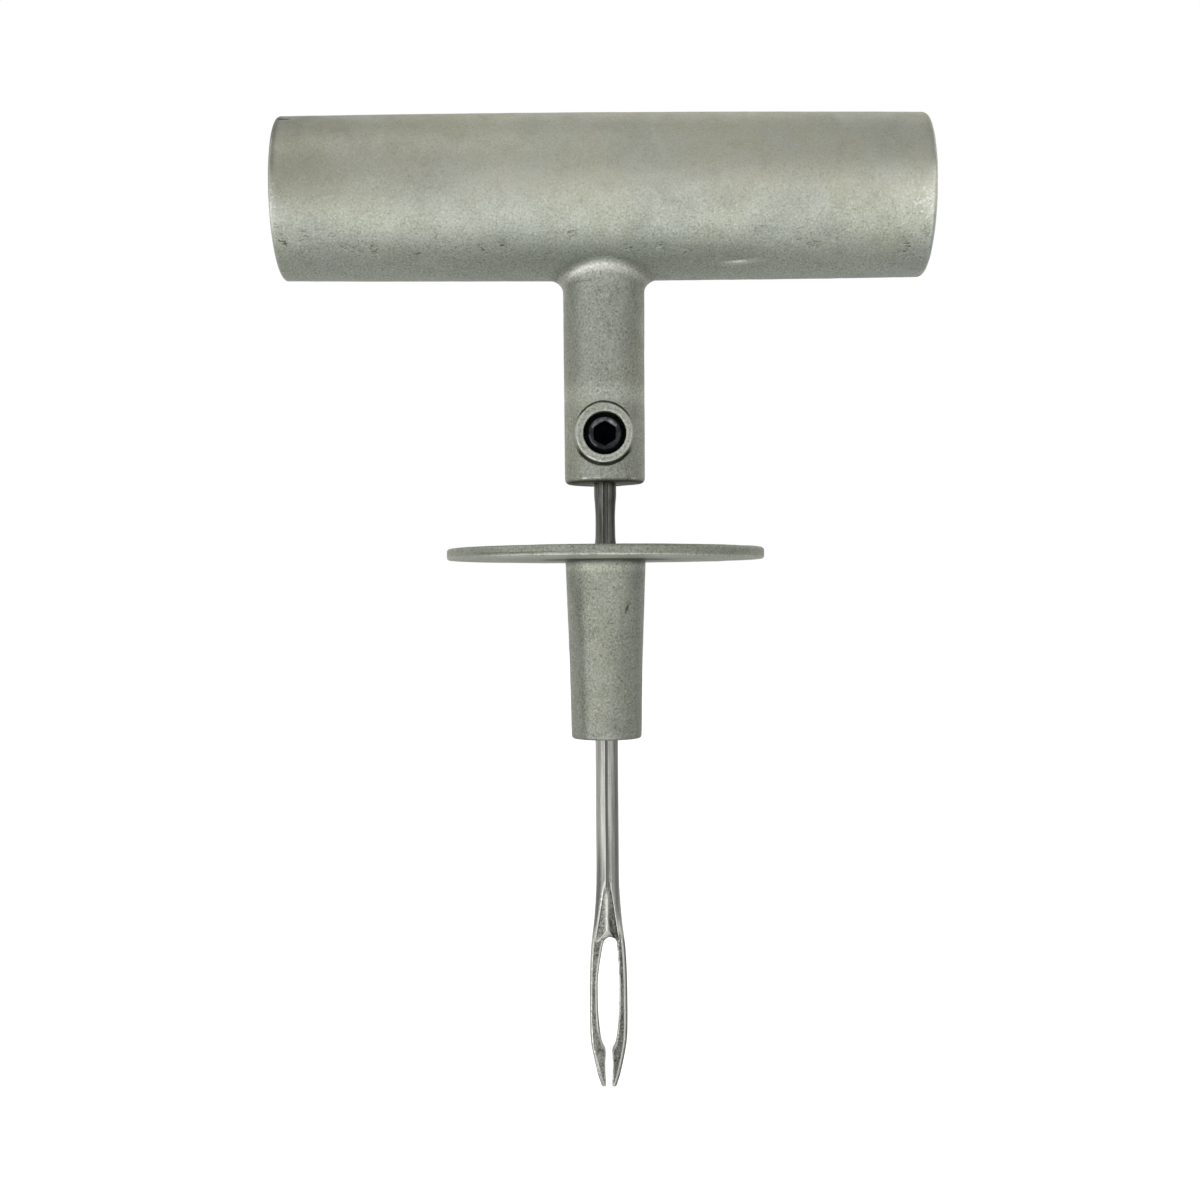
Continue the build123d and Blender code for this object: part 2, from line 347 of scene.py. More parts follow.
def handle_marks(P, N):
    x, y, z = P.T
    bar, _ = bar_part(x, y, z)
    on_bar = smooth(0.1, 2.6, post_part(x, y, z) - bar)
    edge = bend(handle_field, P, 0.30)
    pore = spots(x, z, PORES) * (y < -3)
    # painted highlight on the fillet at the stem's root, stronger on the left
    root = np.where(bar < 0.72, smooth(0.10, 0.50, bar), np.exp(-(((bar - 0.72) / 0.55) ** 2))) * smooth(1.2, 0.5, post_part(x, y, z)) * (y < 0)
    root = root * (0.70 + 0.30 * smooth(3.0, -2.0, x)) * (1 - 0.35 * smooth(4.6, 6.0, np.abs(x)))
    high = smooth(125.5, 138.5, z)
    # painted light and shade on the bar: its upper left darker, a painted highlight band on the right end, lighter
    # towards its lower edge
    left = smooth(-14.0, -30.0, x) * 0.13 + smooth(-34.0, -47.0, x) * 0.16
    bar_tone = 1.0 - left * smooth(131.0, 138.0, z) * smooth(120.0, 137.0, z) + 0.13 * smooth(36.0, 47.0, x) * np.exp(-(((z - 135.5) / 3.5) ** 2))
    bar_tone = bar_tone + 0.12 * smooth(127.5, 125.6, z)
    # painted shade: the end rims are darker above the middle
    bar_tone = bar_tone * (1 - smooth(48.5, 49.3, np.abs(x)) * smooth(138.0, 141.0, z) * np.where(x < 0, 0.42, 0.25) * (y < 0))
    # painted light on the stem: a painted highlight band just above the boss, lighter towards the bar, and the boss
    # face lighter towards its bottom
    post_tone = 1.02 + 0.10 * smooth(118.0, 124.0, z) + 0.26 * np.exp(-(((z - 107.0) / 1.7) ** 2)) - 0.03 * smooth(119.0, 113.0, z)
    boss = (np.hypot((x + 0.1) * 1.045, z - BOSS_Z - 0.05) < 4.60) & (y < -6.3)
    post_tone = np.where(boss, 1.10 + 0.10 * smooth(100.0, 97.5, z), post_tone)
    tone_and_painted_light = post_tone * (1 - on_bar) + bar_tone * on_bar
    worn = smooth(46.0, 49.3, x) * np.exp(-(((z - 134.5) / 3.8) ** 2)) * 0.9 + smooth(48.0, 49.4, -x) * np.exp(-(((z - 135.8) / 3.4) ** 2)) * 0.9
    worn = np.where(y < 0, worn, 0.0)
    flecks = smooth(41.0, 48.0, x) * np.exp(-(((z - 134.0) / 3.2) ** 2)) + smooth(47.3, 49.2, -x) * np.exp(-(((z - 135.6) / 3.0) ** 2))
    flecks = np.where(y < 0, np.clip(flecks, 0, 1), 0.0)
    # painted highlight along the lower lip of the knock near x 20
    lens = np.exp(-(((x - 20.3) / 3.2) ** 2) - ((z - 126.75 - 0.05 * (x - 20.3)) / 0.32) ** 2) * (y < 0)
    nick = 0.6 * np.exp(-(((x + 48.1) / 0.9) ** 2) - ((z - 148.7) / 0.30) ** 2) * (y < 0)
    # painted shade on the downward-facing underside of the stem
    under = smooth(-0.45, -0.85, N[:, 2]) * (z < 94.3) * (np.hypot(x, y) > 1.9)
    hidden = smooth(0.05, 0.5, np.maximum(10.9 - np.sqrt(y * y + (z - BAR_Z) ** 2), -1)) * (np.abs(x) > 5.5) * (np.abs(x) < 49.0)
    return {
        "on_bar": on_bar,
        # worn edges and end rims, and the painted highlight at the knock
        "wear_and_highlight": np.clip((edge - 0.30) * 0.55 * np.where(z < 95.0, 0.5, 1.0) + worn + lens * 0.9, 0, 1),
        # painted shade in concave corners and on the stem's underside, plus the dark nick
        "shade_and_marks": np.clip(np.where((z < 107.0) & (y < 0), 0.0, (-edge - 0.75) * 0.45) * (1 - on_bar * 0.5) * (1 - root) + nick + under, 0, 1),
        "pored": pore,
        "inside": hidden,
        "root": root,
        "tone_and_painted_light": tone_and_painted_light,
        "smoothed": high * on_bar,
        "flecks": flecks,
    }


# ---------------------------------------------------------------------------
# needle: grooved shank, funnel, split eye with barbs
# ---------------------------------------------------------------------------
WIDTH = curve_table(
    [(-0.5, 0.98), (0.0, 1.12), (0.6, 1.33), (1.9, 1.72), (3.4, 2.06), (5.0, 2.40), (7.3, 2.79), (9.4, 2.91),
     (12.0, 2.935), (15.0, 2.925), (18.2, 2.86), (21.0, 2.72), (23.4, 2.47), (26.0, 2.16), (29.0, 1.92), (31.5, 1.80), (34.0, 1.765)]
)
DEPTH = curve_table(
    [(-0.5, 0.45), (0.0, 0.58), (1.5, 0.84), (3.5, 1.14), (6.0, 1.34), (10.0, 1.44), (16.0, 1.48), (23.0, 1.50), (27.0, 1.58), (31.5, 1.72), (34.0, 1.765)]
)
SHANK = curve_table(
    [(34.0, 1.765), (60.0, 1.765), (83.0, 1.765), (84.0, 1.69), (85.4, 1.56), (88.2, 1.53), (90.2, 1.61), (92.0, 1.74), (95.0, 1.74), (116.0, 1.74)], 2400
)
SLOT = [(0.0, 23.40), (0.45, 23.33), (0.78, 23.14), (0.99, 22.88), (1.16, 22.5), (1.29, 21.98), (1.40, 21.3), (1.50, 20.3), (1.58, 19.0),
        (1.65, 17.3), (1.68, 15.5), (1.68, 13.6), (1.63, 11.8), (1.54, 10.3), (1.43, 9.1), (1.31, 8.1), (1.18, 7.3), (1.03, 6.7), (0.85, 6.25), (0.66, 5.95), (0.54, 5.66), (0.49, 5.3),
        (0.50, 4.95), (0.55, 4.3), (0.57, 3.4), (0.56, 2.4), (0.53, 1.6), (0.48, 0.8), (0.46, -2.0), (-0.5, -2.0), (-0.5, 23.40)]


def polygon_table(points, x0, x1, z0, z1, h):
    """Signed distance to a polygon, tabled on a fine grid (negative inside)."""
    xs, zs = np.arange(x0, x1, h), np.arange(z0, z1, h)
    X, Z = np.meshgrid(xs, zs, indexing="ij")
    best = np.full(X.shape, 1e9)
    inside = np.zeros(X.shape, bool)
    n = len(points)
    for i in range(n):
        ax, az = points[i]
        bx, bz = points[(i + 1) % n]
        if not (ax < -0.4 or bx < -0.4 or (az < -1.5 and bz < -1.5)):
            ex, ez = bx - ax, bz - az
            t = np.clip(((X - ax) * ex + (Z - az) * ez) / (ex * ex + ez * ez), 0, 1)
            best = np.minimum(best, np.hypot(X - ax - t * ex, Z - az - t * ez))
        cross = (az > Z) != (bz > Z)
        with np.errstate(divide="ignore", invalid="ignore"):
            inside ^= cross & (X < (bx - ax) * (Z - az) / (bz - az) + ax)
    return xs, zs, np.where(inside, -best, best)


SLOT_X, SLOT_Z, SLOT_D = polygon_table(SLOT, -0.1, 4.2, -1.4, 27.0, 0.04)


def slot_field(ax, z):
    h = 0.04
    u = np.clip((ax - SLOT_X[0]) / h, 0, len(SLOT_X) - 1.001)
    v = np.clip((z - SLOT_Z[0]) / h, 0, len(SLOT_Z) - 1.001)
    i, j = u.astype(int), v.astype(int)
    fu, fv = u - i, v - j
    D = SLOT_D
    return (D[i, j] * (1 - fu) + D[i + 1, j] * fu) * (1 - fv) + (D[i, j + 1] * (1 - fu) + D[i + 1, j + 1] * fu) * fv


def cut_plane(a, b, w, turn):
    """Third plane that bevels the edge where distances a and b meet, w wide on a's face."""
    s, c = math.sin(math.radians(turn)), math.cos(math.radians(turn))
    return (b + w) * s + a * c


def v_half(x, z):
    """Width, left or right, of the ground V that opens from the groove into the eye."""
    return np.maximum(np.where(x < 0, 0.43 + (32.2 - z) * 0.165, 0.36 + (32.2 - z) * 0.140), 0.02)


def eye_gap(x, z):
    """Distance from the eye's edge; the top of the eye leans a little to the right."""
    right = smooth(-0.4, 0.4, x)
    lean = 0.42 * smooth(16.0, 22.2, z) * (1 - right) + 0.22 * smooth(21.4, 22.8, z) * right
    return slot_field(np.abs(x - lean), z)


def bevel(x, z):
    """Width of the outer bevel of each leg."""
    left = 0.19 + 0.30 * smooth(8.0, 3.5, z) + 0.10 * smooth(18.0, 22.0, z)
    return np.where(x < 0, left, 0.40)


def needle_field(x, y, z):
    ax, ay = np.abs(x), np.abs(y)
    low = z < 34.0
    a = np.where(low, np.interp(z, *WIDTH), np.interp(z, *SHANK))
    b = np.where(low, np.interp(z, *DEPTH), np.interp(z, *SHANK))
    # shank: round; eye: flat faces with a low bevel and rounded flanks
    rc = np.minimum(a, b) * 0.985
    qx, qy = ax - (a - rc), ay - (b - rc)
    d_round = np.sqrt(np.maximum(qx, 0) ** 2 + np.maximum(qy, 0) ** 2) + np.minimum(np.maximum(qx, qy), 0) - rc
    d_flat = corner(ax - a, ay - b, np.minimum(0.55, 0.8 * b))
    d_flat = r_inter(d_flat, cut_plane(ay - b, ax - a, bevel(x, z), 33.0), 0.04)
    f = smooth(30.5, 22.5, z)
    d = d_round * (1 - f) + d_flat * f
    # groove down the front and the back of the shank, its left wall the steeper
    gw = np.where(x < 0, 0.34, 0.52) + 0.03 * np.sin(z * 0.31)
    gd = 0.28 * smooth(27.5, 31.0, z) * (1 + 0.15 * smooth(84.0, 88.0, z))
    u = np.clip(1 - ax / gw, 0, 1)
    d = np.maximum(d, (ay - (b - gd * u * (2 - u))) * 0.9)
    # ground V that opens into the eye, with a ridge down its middle and a web at its foot
    uu = ax / v_half(x, z)
    wall = smooth(1.02, 0.86, uu)
    deep = (0.34 * smooth(32.3, 29.0, z) + 0.20 * smooth(28.5, 25.0, z) * smooth(0.1, 0.6, x)) * smooth(22.3, 23.6, z)
    ridge = 0.75 * np.exp(-((x + 0.10) / (0.24 + 0.06 * smooth(27.0, 24.0, z))) ** 2) * smooth(31.6, 29.0, z)
    web = 0.85 * smooth(0.10, -0.25, ax - (25.1 - z) * np.where(x < 0, 0.72, 0.55)) * smooth(25.3, 23.9, z)
    d = np.maximum(d, (ay - (b - deep * wall * (1 - np.maximum(ridge, web)))) * 0.86)
    # open eye, its edges bevelled, wider towards the top
    slot = -eye_gap(x, z)
    d = r_inter(d, slot, 0.05)
    lip = np.where(x < 0, 0.07, 0.13 + 0.06 * smooth(19.0, 21.5, z))
    d = r_inter(d, cut_plane(ay - b, slot, lip, 30.0), 0.04)
    # top end and tips
    d = np.maximum(d, z - 115.5)
    d = r_inter(d, 0.02 - z, 0.22)
    # flat under the set screw
    return np.where(z > 95.0, np.maximum(d, -1.3 - y), d)


def needle_surface(x, y, z):
    d = needle_field(x, y, z)
    rough = smooth(33.5, 31.0, z)
    pit = np.maximum(noise(x, y, z * 0.7, 0.30, 11) - 0.15, 0) * 0.035 * rough
    wave = noise(x, y, z, 4.0, 13) * 0.010 + noise(x, y, z, 1.3, 15) * 0.008 * rough
    draw = noise(x, y, z * 0.03, 0.33, 17) * 0.006
    return d + 0.014 + pit + wave + draw


def needle_marks(P, N):
    x, y, z = P.T
    ax, ay = np.abs(x), np.abs(y)
    edge = bend(needle_field, P, 0.10)
    low = z < 34.0
    a = np.where(low, np.interp(z, *WIDTH), np.interp(z, *SHANK))
    b = np.where(low, np.interp(z, *DEPTH), np.interp(z, *SHANK))
    w = v_half(x, z)
    v_span = smooth(32.2, 31.4, z) * smooth(22.6, 23.6, z)
    in_v = smooth(1.0, 0.90, ax / w) * v_span * (np.abs(N[:, 1]) > 0.4)
    flat = smooth(0.93, 0.975, np.abs(N[:, 1])) * smooth(25.0, 23.0, z) * smooth(0.35, 0.15, b - ay)
    ridge = np.exp(-((x + 0.12) / 0.32) ** 2) * smooth(31.3, 29.0, z) * v_span
    web = smooth(0.10, -0.10, ax - (25.1 - z) * np.where(x < 0, 0.72, 0.55)) * smooth(25.2, 24.0, z) * smooth(22.9, 23.3, z)
    # worn edges with painted highlights: the two edges of the V, and the outer edge of each leg, stronger on the
    # left; painted shade on the right leg's outer band
    v_line = np.exp(-((ax - w) / np.where(x < 0, 0.15, 0.10)) ** 2) * np.where(x < 0, 1.25, 0.85 - 0.45 * smooth(27.0, 24.5, z)) * v_span
    seam = a - bevel(x, z)
    leg = smooth(24.0, 22.5, z)
    line_right = np.exp(-((x - seam + 0.05) / 0.10) ** 2) * 1.2 * leg
    line_left = smooth(seam - 0.02, seam + 0.10, -x) * (0.85 + 0.35 * smooth(7.5, 4.5, z)) * leg
    dark_right = smooth(seam + 0.10, seam + 0.22, x) * leg
    # painted shadow in the groove, and a painted highlight on its left lip
    groove = np.exp(-(((x + 0.06 - 0.14 * smooth(43.0, 33.0, z)) / 0.25) ** 4)) * smooth(31.0, 32.0, z) * (ay > 0.6)
    lip = np.exp(-(((x + 0.43) / 0.11) ** 2)) * smooth(31.2, 32.2, z) * smooth(83.5, 82.0, z) * (ay > 0.6)
    lip = lip * (0.85 + 0.30 * noise(x * 0, y * 0, z, 2.6, 41)) * (0.8 + 0.4 * smooth(50.0, 34.0, z))
    gap = eye_gap(x, z)
    # painted highlight on the inner edge of the left leg, a dark line along the eye's edge, painted shadow under the
    # top of the eye; dark marks at the barbs, a pit and a blot
    inner = np.exp(-(((gap - 0.27) / 0.09) ** 2)) * (x < 0) * smooth(7.5, 9.5, z) * smooth(23.2, 22.7, z) * 1.3
    seam_dark = smooth(0.17, 0.10, gap) * (x < 0.3) * smooth(7.5, 9.5, z) * smooth(23.4, 22.8, z)
    arc = smooth(0.24, 0.10, gap) * smooth(22.2, 22.9, z) * (z < 24.2) * (np.abs(N[:, 1]) > 0.3)
    barb = np.exp(-(((ax - 0.92) / 0.28) ** 2) - ((z - 5.75) / 0.42) ** 2)
    pit = np.exp(-(((x - 0.48 - (25.2 - z) * 0.34) / 0.26) ** 2)) * smooth(27.5, 25.0, z) * smooth(23.0, 23.8, z)
    blot = np.exp(-(((x + 2.3) / 0.22) ** 2) - ((z - 14.6) / 1.1) ** 2)
    # painted light and shade: right of the groove and the right flank darker, the right leg darker and the left
    # lighter, darker beside the V on the left, the V's left wall lighter; apart from that, darker above the collar
    tone_and_painted_light = 1.0 - 0.22 * smooth(0.10, 0.42, x) * smooth(24.0, 27.0, z)
    tone_and_painted_light = tone_and_painted_light - 0.24 * smooth(0.95, 1.25, x) * smooth(1.66, 1.56, x) * smooth(24.0, 27.0, z)
    tone_and_painted_light = tone_and_painted_light * (1 - 0.48 * smooth(82.6, 84.2, z))
    tone_and_painted_light = tone_and_painted_light * (1 - 0.12 * leg * (x > 0)) * (1 + 0.15 * leg * (x < 0))
    beside = smooth(0.10, 0.28, -x - w) * smooth(41.0, 31.0, z) * smooth(24.0, 25.5, z)
    tone_and_painted_light = tone_and_painted_light * (1 - 0.50 * beside * smooth(0.45, 0.62, -x + 0.6 * smooth(33.0, 31.0, z)))
    tone_and_painted_light = tone_and_painted_light * (1 + 0.55 * in_v * (x < 0)) * (1 + 0.10 * in_v * (x > 0))
    # painted highlight on the V's ridge and web
    plain = np.maximum(ridge, web)
    return {
        "flat": np.maximum(flat, in_v * (1 - 0.8 * plain)),
        "wear_and_highlight": np.clip((edge - 3.2) * 0.08 * (1 - 0.7 * in_v) * np.where(z > 83.0, 0.3, 1.0) + v_line + line_right + line_left + inner + lip + 0.30 * plain * (x < 0.2), 0, 1),
        "shade_and_marks": np.clip(np.maximum((-edge - 2.5) * 0.06, groove * 0.98) + dark_right * 0.8 + barb * 0.75 + pit * 1.0 + blot * 0.9 + seam_dark * 0.95 + arc * 1.0, 0, 1),
        "tone_and_painted_light": tone_and_painted_light,
    }


# ---------------------------------------------------------------------------
# materials
# ---------------------------------------------------------------------------


class Nodes:
    def __init__(self, name):
        self.mat = bpy.data.materials.new(name)
        self.mat.use_nodes = True
        self.tree = self.mat.node_tree
        self.tree.nodes.clear()
        self.out = self.tree.nodes.new("ShaderNodeOutputMaterial")
        self.bsdf = self.tree.nodes.new("ShaderNodeBsdfPrincipled")
        self.tree.links.new(self.bsdf.outputs[0], self.out.inputs[0])
        self.coord = self.tree.nodes.new("ShaderNodeTexCoord").outputs["Object"]

    def link(self, a, b):
        self.tree.links.new(a, b)

    def scaled(self, sx, sy, sz, source=None):
        n = self.tree.nodes.new("ShaderNodeMapping")
        n.inputs["Scale"].default_value = (sx, sy, sz)
        self.link(source or self.coord, n.inputs["Vector"])
        return n.outputs[0]

    def turned(self, angles, scale):
        n = self.tree.nodes.new("ShaderNodeMapping")
        n.inputs["Rotation"].default_value = angles
        n.inputs["Scale"].default_value = scale
        self.link(self.coord, n.inputs["Vector"])
        return n.outputs[0]

    def noise(self, scale, detail=3.0, rough=0.55, source=None, dim="3D", distortion=0.0):
        n = self.tree.nodes.new("ShaderNodeTexNoise")
        n.inputs["Scale"].default_value = scale
        n.inputs["Detail"].default_value = detail
        n.inputs["Roughness"].default_value = rough
        n.inputs["Distortion"].default_value = distortion
        self.link(source or self.coord, n.inputs["Vector"])
        return n.outputs["Fac"]

    def voronoi(self, scale, source=None, feature="F1"):
        n = self.tree.nodes.new("ShaderNodeTexVoronoi")
        n.feature = feature
        n.inputs["Scale"].default_value = scale
        self.link(source or self.coord, n.inputs["Vector"])
        return n.outputs["Distance"]

    def remap(self, value, a, b, c=0.0, d=1.0):
        n = self.tree.nodes.new("ShaderNodeMapRange")
        n.inputs[1].default_value, n.inputs[2].default_value = a, b
        n.inputs[3].default_value, n.inputs[4].default_value = c, d
        self.link(value, n.inputs[0])
        return n.outputs[0]

    def math(self, op, a, b=None, clamp=False):
        n = self.tree.nodes.new("ShaderNodeMath")
        n.operation = op
        n.use_clamp = clamp
        for i, v in enumerate((a, b)):
            if v is None:
                continue
            if isinstance(v, (int, float)):
                n.inputs[i].default_value = v
            else:
                self.link(v, n.inputs[i])
        return n.outputs[0]

    def mix(self, fac, a, b, blend="MIX"):
        n = self.tree.nodes.new("ShaderNodeMix")
        n.data_type = "RGBA"
        n.blend_type = blend
        if isinstance(fac, (int, float)):
            n.inputs[0].default_value = fac
        else:
            self.link(fac, n.inputs[0])
        for i, v in ((6, a), (7, b)):
            if isinstance(v, tuple):
                n.inputs[i].default_value = (*v, 1)
            else:
                self.link(v, n.inputs[i])
        return n.outputs[2]

    def axis(self, which):
        n = self.tree.nodes.new("ShaderNodeSeparateXYZ")
        self.link(self.coord, n.inputs[0])
        return n.outputs["XYZ".index(which)]

    def bump(self, height, distance, strength=1.0, normal=None):
        n = self.tree.nodes.new("ShaderNodeBump")
        n.inputs["Strength"].default_value = strength
        n.inputs["Distance"].default_value = distance
        self.link(height, n.inputs["Height"])
        if normal is not None:
            self.link(normal, n.inputs["Normal"])
        return n.outputs[0]


def attribute(m, name):
    n = m.tree.nodes.new("ShaderNodeAttribute")
    n.attribute_type = "GEOMETRY"
    n.attribute_name = name
    return n.outputs["Fac"]


def band(m, value, a, b, c, d):
    """1 between b and c, fading to 0 at a and at d."""
    return m.math("MULTIPLY", m.remap(value, a, b), m.remap(value, d, c))


def cast_material(name, handle):
    m = Nodes(name)
    product = lambda *v: v[0] if len(v) == 1 else m.math("MULTIPLY", v[0], product(*v[1:]))
    mid = (0.560, 0.570, 0.528)
    broad = m.noise(78.0, 2, 0.5)                      # 12 mm clouds
    patch = m.noise(240.0, 4, 0.62, distortion=0.4)    # 4 mm blotches
    grain = m.noise(3300.0, 4, 0.70)                   # 0.3 mm speckle
    fine = m.noise(7200.0, 2, 0.6)
    base = m.mix(m.remap(broad, 0.40, 0.62), mid, (0.585, 0.588, 0.508))
    base = m.mix(m.remap(patch, 0.48, 0.60, 0.0, 0.50), base, (0.635, 0.648, 0.612))
    base = m.mix(m.remap(patch, 0.44, 0.32, 0.0, 0.50), base, (0.470, 0.482, 0.448))
    if handle:
        # the palm has rubbed the top of the bar smooth
        rubbed = attribute(m, "smoothed")
        amount = m.remap(rubbed, 0.0, 1.0, 1.0, 0.38)
    else:
        amount = m.remap(fine, 0.0, 1.0, 1.0, 1.0)
    light, dark = m.remap(grain, 0.53, 0.68), m.remap(grain, 0.47, 0.32)
    base = m.mix(m.math("MULTIPLY", light, m.math("MULTIPLY", amount, 0.80)), base, (0.900, 0.910, 0.880))
    base = m.mix(m.math("MULTIPLY", dark, m.math("MULTIPLY", amount, 0.85)), base, (0.215, 0.225, 0.200))
    # scattered pinholes everywhere, scribbled pores inside the pored places
    sparse = m.remap(m.noise(300.0, 3, 0.6), 0.64, 0.72, 0.0, 0.45)
    hole = m.math("MULTIPLY", m.remap(m.voronoi(1700.0), 0.24, 0.10), sparse)
    if handle:
        dense = m.remap(attribute(m, "pored"), 0.22, 0.62)
        slanted = m.turned((0.0, -0.75, 0.0), (0.42, 1.0, 1.25))
        flecks = m.remap(m.noise(3100.0, 2, 0.5, source=slanted), 0.53, 0.60)
        gaps = m.remap(m.noise(1400.0, 2, 0.5), 0.42, 0.56, 0.25, 1.0)
        hole = m.math("MULTIPLY", hole, m.remap(rubbed, 0.0, 0.6, 1.0, 0.2))
        hole = m.math("MAXIMUM", hole, product(flecks, dense, gaps, m.remap(m.axis("Z"), 0.1292, 0.1306, 0.92, 0.45)))
    base = m.mix(m.math("MULTIPLY", hole, 0.90), base, (0.095, 0.102, 0.090))
    wear_and_highlight, shade_and_marks, tone_and_painted_light = attribute(m, "wear_and_highlight"), attribute(m, "shade_and_marks"), attribute(m, "tone_and_painted_light")
    # worn edges and painted highlights, lightened together
    rub_and_highlight = product(wear_and_highlight, m.remap(m.math("ADD", m.math("MULTIPLY", patch, 0.5), m.math("MULTIPLY", grain, 0.5)), 0.40, 0.58, 0.30, 1.0))
    rub_and_highlight = m.math("MULTIPLY", rub_and_highlight, 1.0, clamp=True)
    base = m.mix(m.math("MULTIPLY", rub_and_highlight, 0.80), base, (0.90, 0.905, 0.87))
    if handle:
        # painted shade: the stem is coloured darker than the bar, and the bar warmer above and greener below,
        # standing in for how the light falls on them
        on_bar, root = attribute(m, "on_bar"), attribute(m, "root")
        low = m.mix(m.remap(m.axis("Z"), 0.127, 0.137), (0.985, 1.03, 1.01), (1.03, 1.03, 0.985))
        base = m.mix(1.0, base, m.mix(on_bar, (0.70, 0.712, 0.69), low), blend="MULTIPLY")
        fleck = product(attribute(m, "flecks"), m.remap(m.noise(2300.0, 2, 0.6), 0.585, 0.64))
        base = m.mix(m.math("MULTIPLY", fleck, 0.85), base, (0.98, 0.98, 0.96))
        # painted highlight on the root fillet
        glint = product(root, m.remap(grain, 0.38, 0.62, 0.40, 1.0))
        base = m.mix(m.math("MULTIPLY", glint, 0.85), base, (0.96, 0.96, 0.93))
        # painted light and shade, with the casting's tone, multiplied in
        base = m.mix(1.0, base, tone_and_painted_light, blend="MULTIPLY")
        # crisp lines around the boss: a painted shadow line above, painted shade at its foot below, a painted
        # highlight on the lower left edge of its face
        x, y, z = m.axis("X"), m.axis("Y"), m.axis("Z")
        bx = m.math("MULTIPLY", m.math("ADD", x, 0.0001), 1.045)
        bz = m.math("SUBTRACT", z, 0.10085)
        rb = m.math("SQRT", m.math("ADD", m.math("MULTIPLY", bx, bx), m.math("MULTIPLY", bz, bz)))
        rb = m.math("ADD", rb, m.remap(m.noise(700.0, 2, 0.5), 0.3, 0.7, -0.00005, 0.00005))
        front = m.remap(y, -0.0036, -0.0042)
        rise = m.math("DIVIDE", bz, m.math("MAXIMUM", rb, 0.0005))
        diag = m.math("DIVIDE", m.math("ADD", m.math("MULTIPLY", bx, -0.60), m.math("MULTIPLY", bz, -0.80)), m.math("MAXIMUM", rb, 0.0005))
        above = product(band(m, rb, 0.00464, 0.00474, 0.00488, 0.00500), m.remap(rise, 0.42, 0.66), front)
        below = product(band(m, rb, 0.00456, 0.00466, 0.00494, 0.00508), m.remap(rise, -0.36, -0.62), front)
        line = m.math("MAXIMUM", above, below)
        base = m.mix(m.math("MULTIPLY", line, 0.95), base, (0.022, 0.026, 0.018))
        lip = product(band(m, rb, 0.00426, 0.00433, 0.00444, 0.00450), m.remap(diag, 0.70, 0.90), front, m.remap(m.noise(1500.0, 2, 0.5), 0.42, 0.52, 0.2, 1.0))
        base = m.mix(lip, base, (0.98, 0.98, 0.96))
        # dark nick at the bar's top left corner
        nick = product(band(m, x, -0.0493, -0.0490, -0.0478, -0.0473), band(m, z, 0.14838, 0.14850, 0.14885, 0.14897), front, m.remap(m.noise(1500.0, 2, 0.5), 0.38, 0.50, 0.3, 1.0))
        base = m.mix(m.math("MULTIPLY", nick, 0.9), base, (0.030, 0.032, 0.026))
        # faint scratch under the root, on the left
        scratch = product(m.remap(m.math("ABSOLUTE", m.math("SUBTRACT", z, 0.12405)), 0.00016, 0.00006), band(m, x, -0.0046, -0.0040, -0.0026, -0.0020), front)
        base = m.mix(m.math("MULTIPLY", scratch, 0.55), base, (0.20, 0.21, 0.18))
        # glints on the stem's lower edge
        foot = product(band(m, z, 0.09385, 0.09395, 0.09412, 0.09425), m.remap(m.noise(520.0, 2, 0.5), 0.55, 0.66), front)
        base = m.mix(m.math("MULTIPLY", foot, 0.8), base, (0.95, 0.95, 0.93))
        # painted shade in hollows and under the stem, and the dark nick
        base = m.mix(m.math("MULTIPLY", shade_and_marks, 0.93), base, (0.070, 0.075, 0.062))
        base = m.mix(m.math("MULTIPLY", attribute(m, "inside"), 0.55), base, (0.24, 0.245, 0.225))
    else:
        # painted shade: the collar is coloured darker, as the stem is; then painted light and shade multiplied in,
        # and painted shade in hollows with real marks
        base = m.mix(1.0, base, (0.72, 0.742, 0.715), blend="MULTIPLY")
        base = m.mix(1.0, base, tone_and_painted_light, blend="MULTIPLY")
        base = m.mix(m.math("MULTIPLY", shade_and_marks, 0.90), base, (0.095, 0.10, 0.085))
    m.link(base, m.bsdf.inputs["Base Color"])
    m.bsdf.inputs["Metallic"].default_value = 1.0
    rough = m.remap(m.math("ADD", m.math("MULTIPLY", grain, 0.55), m.math("MULTIPLY", patch, 0.45)), 0.36, 0.62, 0.52, 0.36)
    rough = m.math("SUBTRACT", rough, m.math("MULTIPLY", rub_and_highlight, 0.10))
    if handle:
        rough = m.math("SUBTRACT", rough, m.math("MULTIPLY", root, 0.06))
    rough = m.math("ADD", rough, m.math("MULTIPLY", hole, 0.2), clamp=True)
    m.link(rough, m.bsdf.inputs["Roughness"])
    h = m.math("ADD", m.math("MULTIPLY", grain, amount), m.math("MULTIPLY", fine, m.math("MULTIPLY", amount, 0.35)))
    h = m.math("SUBTRACT", h, m.math("MULTIPLY", hole, 0.9))
    m.link(m.bump(h, 0.00009, 0.9), m.bsdf.inputs["Normal"])
    return m.mat


